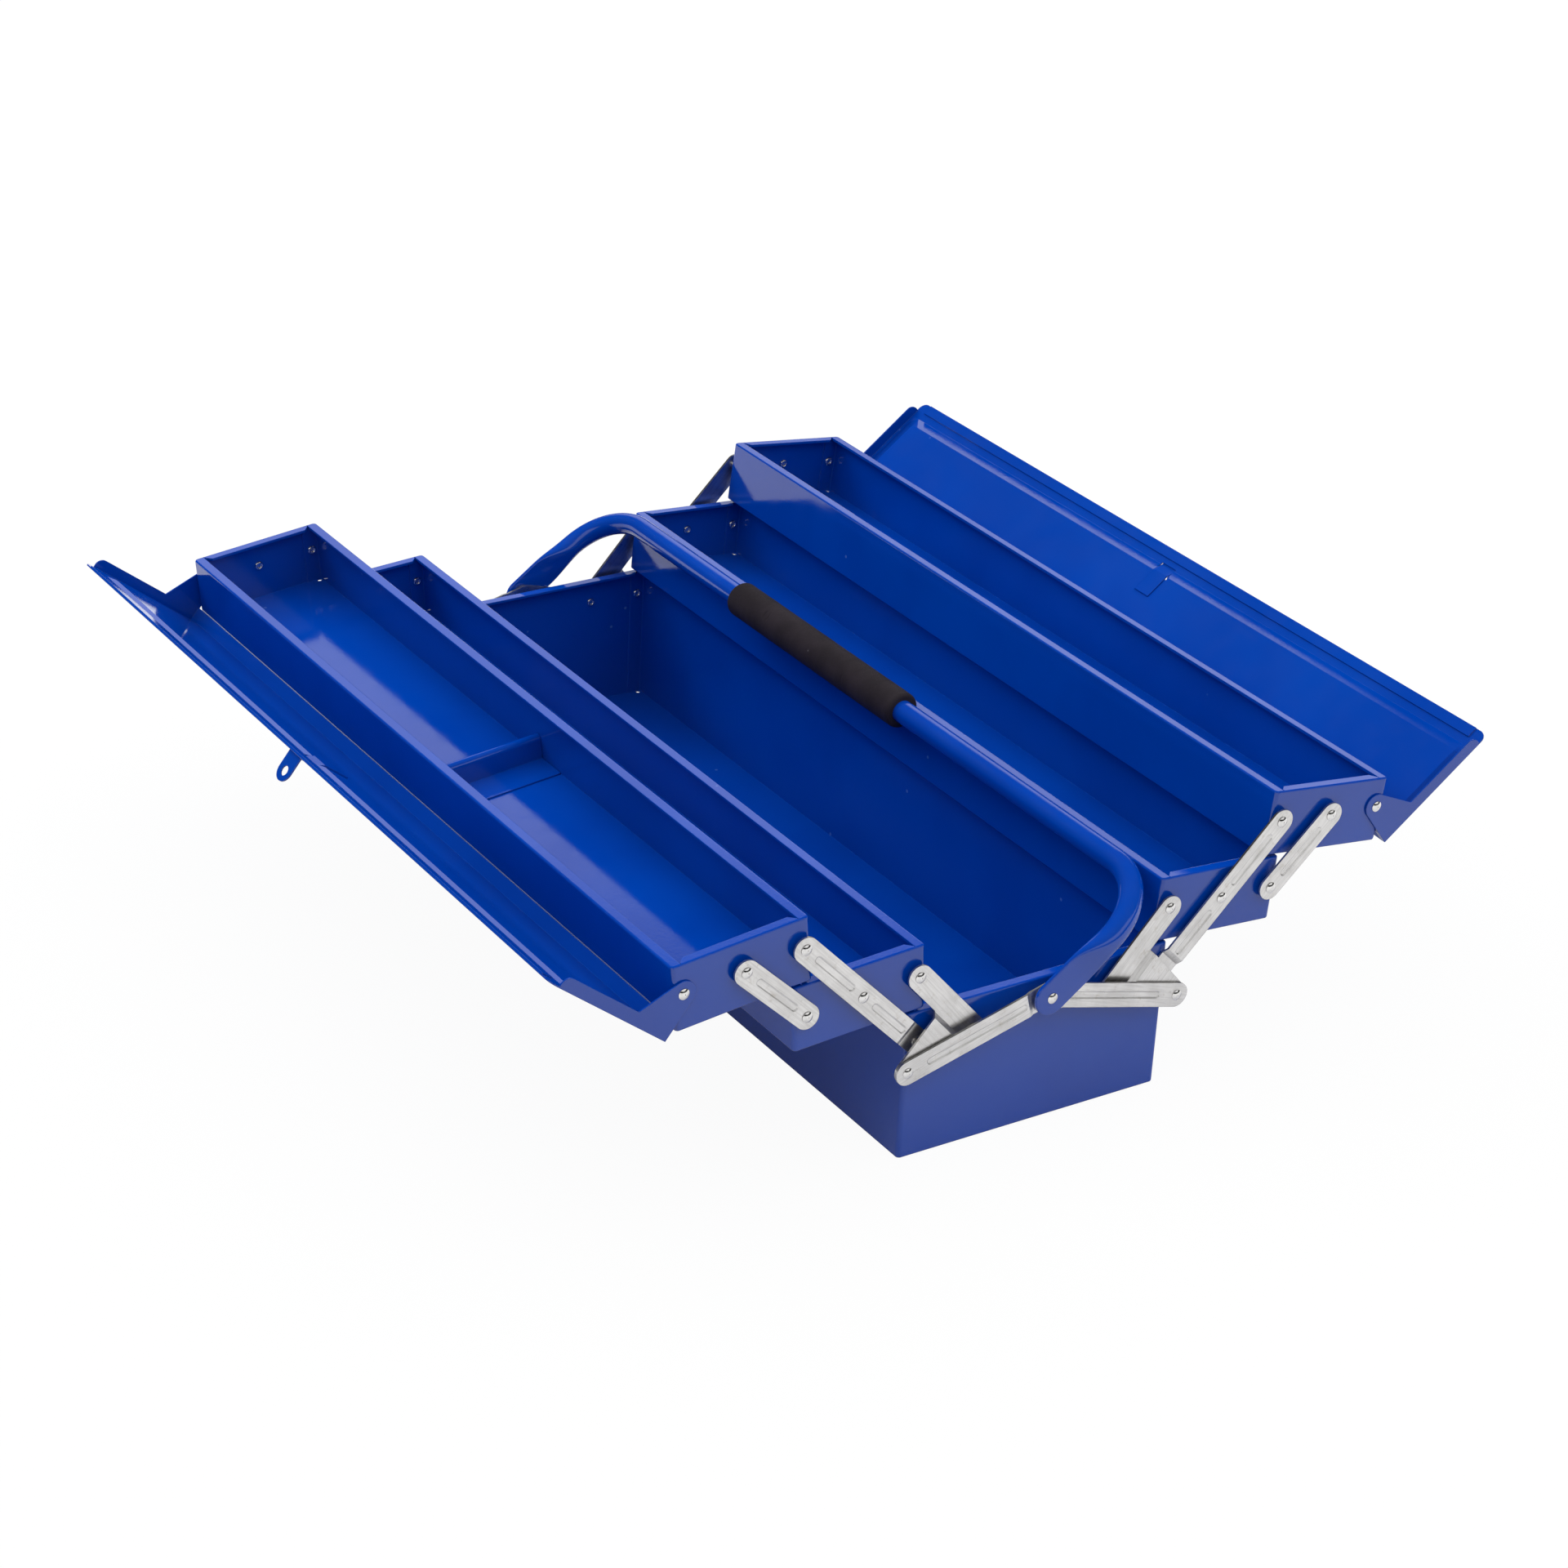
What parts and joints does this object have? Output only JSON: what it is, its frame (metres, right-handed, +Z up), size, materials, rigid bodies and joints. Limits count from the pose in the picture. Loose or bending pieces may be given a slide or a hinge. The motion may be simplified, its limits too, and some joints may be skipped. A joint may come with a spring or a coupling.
{
  "type": "cantilever tool box",
  "caption": "Open sheet-steel cantilever tool box: a deep base, stepped trays on riveted folding strips at each side, hinged lids with padlock eyes, and a tube handle with a sleeve grip.",
  "frame": {"origin": "centre of the underside of the base, on the surface that the box stands on", "axes": "+X along the box towards its near end, +Y towards the back, where the handle leans, +Z up"},
  "size_m": [0.697, 0.7284, 0.196],
  "materials": {
    "blue_enamel": "gloss",
    "zinc_steel": "satin",
    "rivet_steel": "polished",
    "grip_rubber": "matte"
  },
  "bodies": {
    "base": {"base_box": "blue_enamel", "base_pivot_rivets": "rivet_steel"},
    "back_arms": {"back_near_long_arm": "zinc_steel", "back_far_long_arm": "zinc_steel"},
    "back_cranks": {"back_near_crank": "zinc_steel", "back_far_crank": "zinc_steel", "back_crank_rivets": "rivet_steel"},
    "back_lower_tray": {"back_lower_tray": "blue_enamel", "back_lower_tray_rivets": "rivet_steel"},
    "back_upper_tray": {"back_upper_tray": "blue_enamel", "back_upper_tray_rivets": "rivet_steel", "back_lid_rivets": "rivet_steel"},
    "back_short_arms": {"back_near_short_arm": "zinc_steel", "back_far_short_arm": "zinc_steel"},
    "back_links": {"back_near_link": "zinc_steel", "back_far_link": "zinc_steel", "back_link_rivets": "rivet_steel"},
    "back_lid": {"back_lid": "blue_enamel", "back_padlock_eye": "blue_enamel"},
    "front_arms": {"front_near_long_arm": "zinc_steel", "front_far_long_arm": "zinc_steel"},
    "front_cranks": {"front_near_crank": "zinc_steel", "front_far_crank": "zinc_steel", "front_crank_rivets": "rivet_steel"},
    "front_lower_tray": {"front_lower_tray": "blue_enamel", "front_lower_tray_rivets": "rivet_steel"},
    "front_upper_tray": {"front_upper_tray": "blue_enamel", "front_upper_tray_rivets": "rivet_steel", "front_lid_rivets": "rivet_steel", "tray_divider": "blue_enamel"},
    "front_short_arms": {"front_near_short_arm": "zinc_steel", "front_far_short_arm": "zinc_steel"},
    "front_links": {"front_near_link": "zinc_steel", "front_far_link": "zinc_steel", "front_link_rivets": "rivet_steel"},
    "front_lid": {"front_lid": "blue_enamel", "front_padlock_eye": "blue_enamel"},
    "handle_carriage": {"handle_rivets": "rivet_steel"},
    "handle": {"handle_tube": "blue_enamel", "handle_grip": "grip_rubber"}
  },
  "joints": [
    {"name": "fold", "type": "hinge", "parent": "base", "child": "back_arms", "pos_m": [0, 0.0933, 0.0845], "axis": [1, 0, 0], "range_deg": [0, 87.48]},
    {"name": "back_crank_pivot", "type": "hinge", "parent": "base", "child": "back_cranks", "pos_m": [0, 0.0533, 0.0845], "axis": [1, 0, 0], "range_deg": [0, 85.81]},
    {"name": "back_lower_tray_pivot", "type": "hinge", "parent": "back_arms", "child": "back_lower_tray", "pos_m": [0, 0.13691, 0.12856], "axis": [1, 0, 0], "range_deg": [-83.68, 0]},
    {"name": "back_upper_tray_pivot", "type": "hinge", "parent": "back_arms", "child": "back_upper_tray", "pos_m": [0, 0.18051, 0.17262], "axis": [1, 0, 0], "range_deg": [-80.88, 0]},
    {"name": "back_short_arm_pivot", "type": "hinge", "parent": "back_lower_tray", "child": "back_short_arms", "pos_m": [0, 0.17717, 0.12588], "axis": [1, 0, 0], "range_deg": [0, 84.91]},
    {"name": "back_lid_hinge", "type": "hinge", "parent": "back_upper_tray", "child": "back_lid", "pos_m": [0, 0.26296, 0.16308], "axis": [1, 0, 0], "range_deg": [0, 135.9]},
    {"name": "front_fold", "type": "hinge", "parent": "base", "child": "front_arms", "pos_m": [0, -0.0933, 0.0845], "axis": [-1, 0, 0], "range_deg": [0, 87.48]},
    {"name": "front_crank_pivot", "type": "hinge", "parent": "base", "child": "front_cranks", "pos_m": [0, -0.0533, 0.0845], "axis": [-1, 0, 0], "range_deg": [0, 85.81]},
    {"name": "front_lower_tray_pivot", "type": "hinge", "parent": "front_arms", "child": "front_lower_tray", "pos_m": [0, -0.13691, 0.12856], "axis": [-1, 0, 0], "range_deg": [-83.68, 0]},
    {"name": "front_upper_tray_pivot", "type": "hinge", "parent": "front_arms", "child": "front_upper_tray", "pos_m": [0, -0.18051, 0.17262], "axis": [-1, 0, 0], "range_deg": [-80.88, 0]},
    {"name": "front_short_arm_pivot", "type": "hinge", "parent": "front_lower_tray", "child": "front_short_arms", "pos_m": [0, -0.17717, 0.12588], "axis": [-1, 0, 0], "range_deg": [0, 84.91]},
    {"name": "front_lid_hinge", "type": "hinge", "parent": "front_upper_tray", "child": "front_lid", "pos_m": [0, -0.26296, 0.16308], "axis": [-1, 0, 0], "range_deg": [0, 135.9]},
    {"name": "handle_rise", "type": "slide", "parent": "base", "child": "handle_carriage", "axis": [0, 0, 1], "range_m": [0, 0.11624]},
    {"name": "back_link_pivot", "type": "hinge", "parent": "handle_carriage", "child": "back_links", "pos_m": [0, 0, 0.0962], "axis": [1, 0, 0], "range_deg": [-32.45, 0]},
    {"name": "front_link_pivot", "type": "hinge", "parent": "handle_carriage", "child": "front_links", "pos_m": [0, 0, 0.0962], "axis": [-1, 0, 0], "range_deg": [-32.45, 0]},
    {"name": "handle_swing", "type": "hinge", "parent": "handle_carriage", "child": "handle", "pos_m": [0, 0, 0.0962], "axis": [1, 0, 0], "range_deg": [0, 53.71]}
  ],
  "couplings": [
    {"joint": "back_crank_pivot", "follows": "fold", "ratio": 0.98092},
    {"joint": "back_lower_tray_pivot", "follows": "fold", "ratio": -0.95656},
    {"joint": "back_upper_tray_pivot", "follows": "fold", "ratio": -0.92456},
    {"joint": "back_short_arm_pivot", "follows": "fold", "ratio": 0.97064},
    {"joint": "front_fold", "follows": "fold", "ratio": 1},
    {"joint": "front_crank_pivot", "follows": "fold", "ratio": 0.98092},
    {"joint": "front_lower_tray_pivot", "follows": "fold", "ratio": -0.95656},
    {"joint": "front_upper_tray_pivot", "follows": "fold", "ratio": -0.92456},
    {"joint": "front_short_arm_pivot", "follows": "fold", "ratio": 0.97064},
    {"joint": "handle_rise", "follows": "fold", "m_per_rad": 0.076129},
    {"joint": "back_link_pivot", "follows": "fold", "ratio": -0.37097},
    {"joint": "front_link_pivot", "follows": "fold", "ratio": -0.37097},
    {"joint": "handle_swing", "follows": "fold", "ratio": 0.61396}
  ]
}
